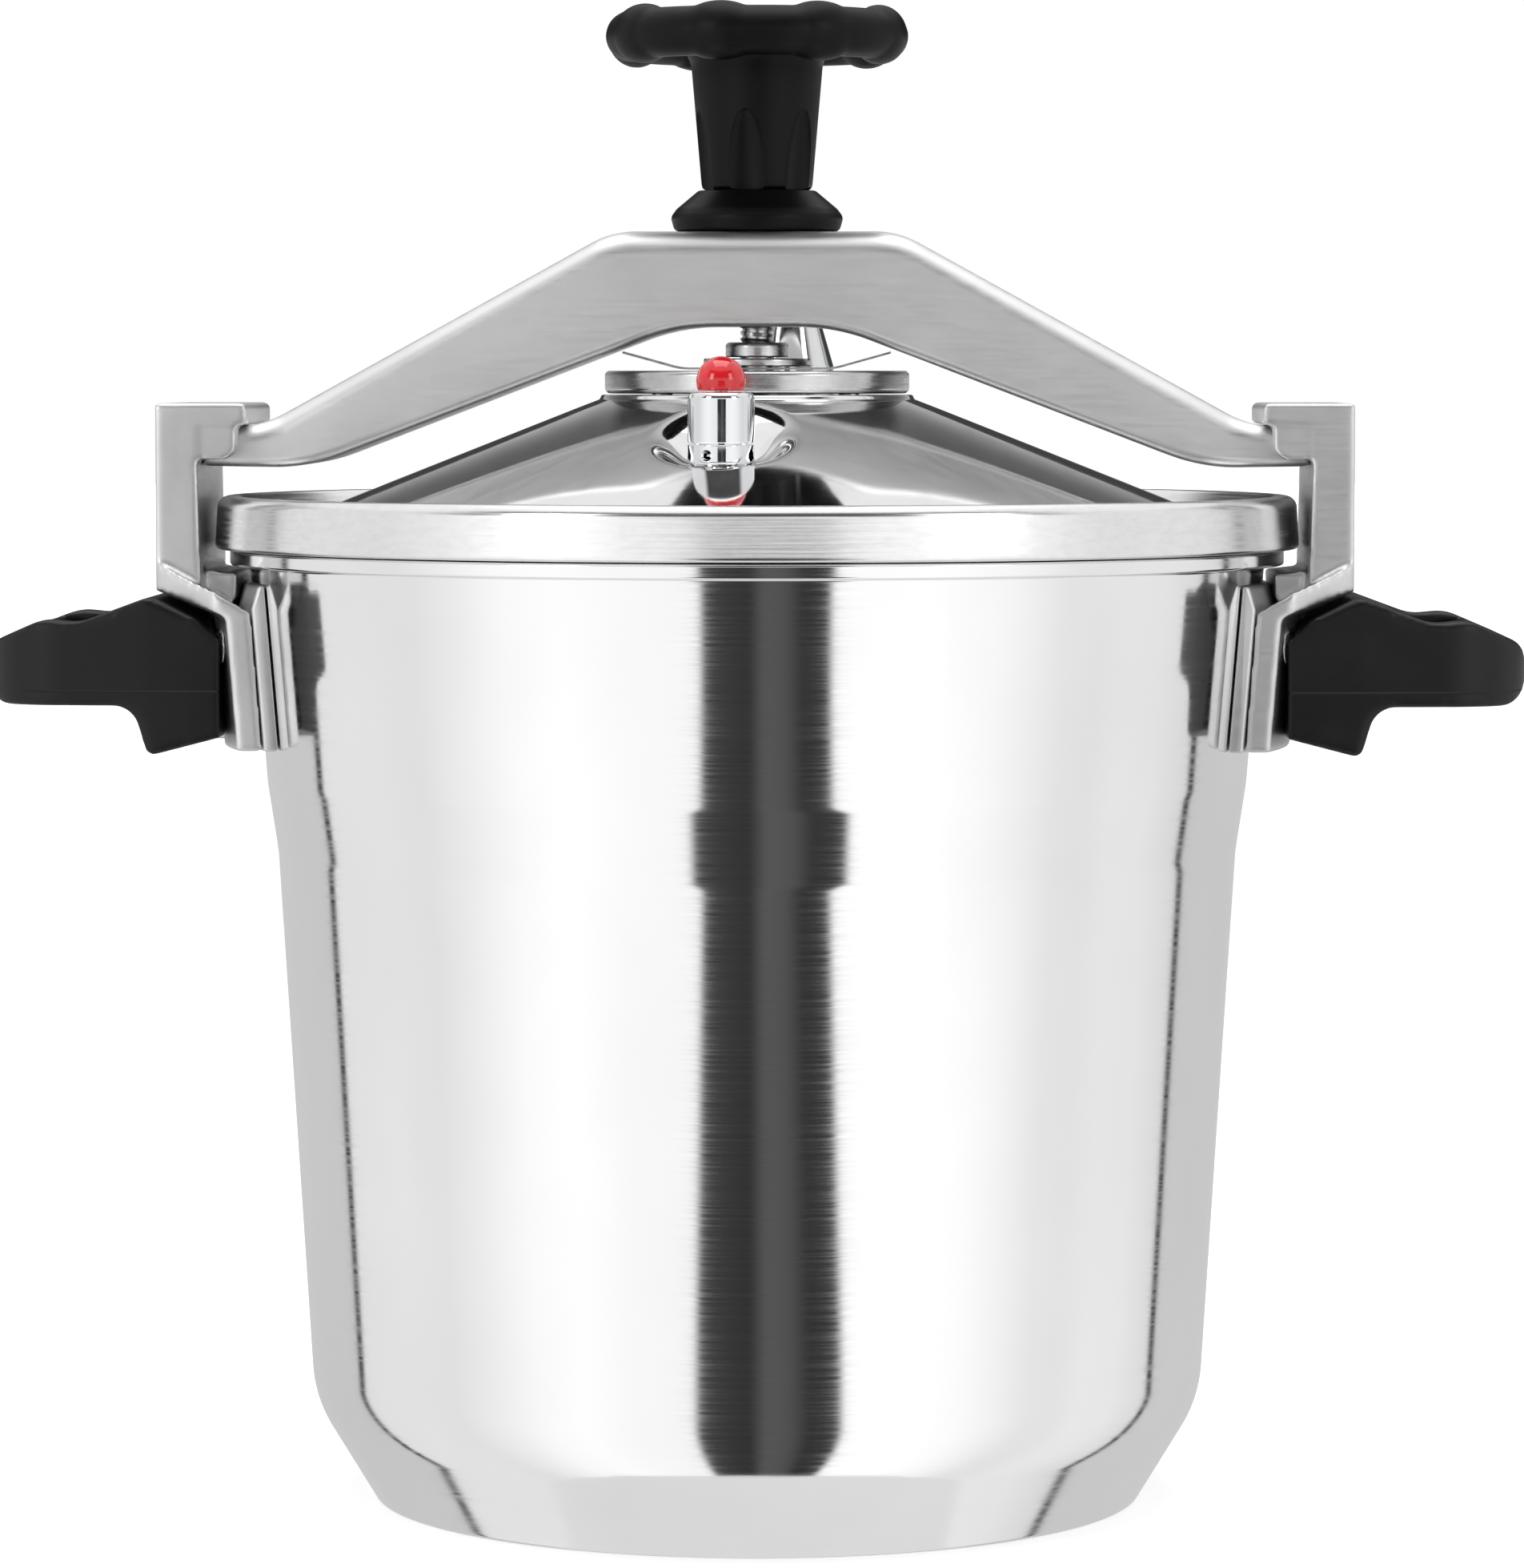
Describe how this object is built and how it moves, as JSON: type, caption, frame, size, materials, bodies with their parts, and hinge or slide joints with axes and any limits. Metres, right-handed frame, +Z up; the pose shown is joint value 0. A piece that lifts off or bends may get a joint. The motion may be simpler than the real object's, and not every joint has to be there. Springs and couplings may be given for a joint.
{
  "type": "pressure canner",
  "caption": "Yoke-type pressure canner: tapered pot with side handles and hook posts, conical lid held by a screw-down yoke with a lobed hand wheel, relief valve and weighted regulator.",
  "frame": {"origin": "centre of the pot's base, on the surface it stands on", "axes": "+X through the right handle, along the yoke; +Y to the back, the way the lid slides off; +Z up the spindle"},
  "size_m": [0.37, 0.2632, 0.3627],
  "materials": {
    "polished_aluminium": "polished, brushed round",
    "mirror_aluminium": "mirror polished",
    "cast_aluminium": "cast, linished satin",
    "steel": "turned",
    "chromed": "chrome plated",
    "bakelite": "moulded phenolic, semi-matt",
    "rubber": "matt",
    "red_plastic": "glossy"
  },
  "bodies": {
    "pot": {"handle_left": "bakelite", "handle_right": "bakelite", "handle_screw_left_back": "steel", "handle_screw_left_front": "steel", "handle_screw_right_back": "steel", "handle_screw_right_front": "steel", "hook_post_left": "cast_aluminium", "hook_post_right": "cast_aluminium", "lug_plate_left": "cast_aluminium", "lug_plate_right": "cast_aluminium", "lug_rivet_left_back": "steel", "lug_rivet_left_front": "steel", "lug_rivet_right_back": "steel", "lug_rivet_right_front": "steel", "pot_body": "polished_aluminium"},
    "lid": {"lid_shell": "mirror_aluminium", "lid_gasket": "rubber", "pressure_plate": "steel", "plate_rivet_1": "steel", "plate_rivet_2": "steel", "plate_rivet_3": "steel", "leaf_spring": "steel", "thrust_washer": "steel", "relief_body": "chromed", "relief_sleeve": "chromed", "relief_seal": "rubber", "relief_nut": "steel", "relief_spring": "steel", "vent_pipe": "chromed", "vent_seal": "rubber", "vent_nut": "steel"},
    "yoke": {"yoke": "cast_aluminium", "yoke_bush": "steel"},
    "spindle": {"spindle": "steel", "spindle_clip": "steel", "spindle_collar": "steel", "knob": "bakelite", "knob_base_ring": "bakelite", "knob_washer": "steel", "knob_nut": "steel", "knob_cap": "bakelite"},
    "relief_stem": {"relief_stem": "steel", "relief_ball": "red_plastic"},
    "regulator": {"regulator_weight": "chromed", "regulator_knob": "bakelite"}
  },
  "joints": [
    {"name": "lid_slide", "type": "slide", "parent": "pot", "child": "lid", "axis": [0, 1, 0], "range_m": [0, 0.27]},
    {"name": "spindle_turn", "type": "hinge", "parent": "lid", "child": "spindle", "pos_m": [0, 0, 0.28], "axis": [0, 0, 1], "range_deg": [0, 840]},
    {"name": "yoke_drop", "type": "slide", "parent": "lid", "child": "yoke", "axis": [0, 0, -1], "range_m": [0, 0.0035], "deforming": ["leaf_spring"]},
    {"name": "relief_lift", "type": "slide", "parent": "lid", "child": "relief_stem", "axis": [0, 0, 1], "range_m": [0, 0.0028], "stiffness_N_per_m": 100, "springref_m": -0.001, "deforming": ["relief_spring"]},
    {"name": "regulator_lift", "type": "slide", "parent": "lid", "child": "regulator", "axis": [0, 0, 1], "range_m": [0, 0.025]}
  ],
  "couplings": [
    {"joint": "spindle_turn", "follows": "yoke_drop", "rad_per_m": 4188.8}
  ]
}
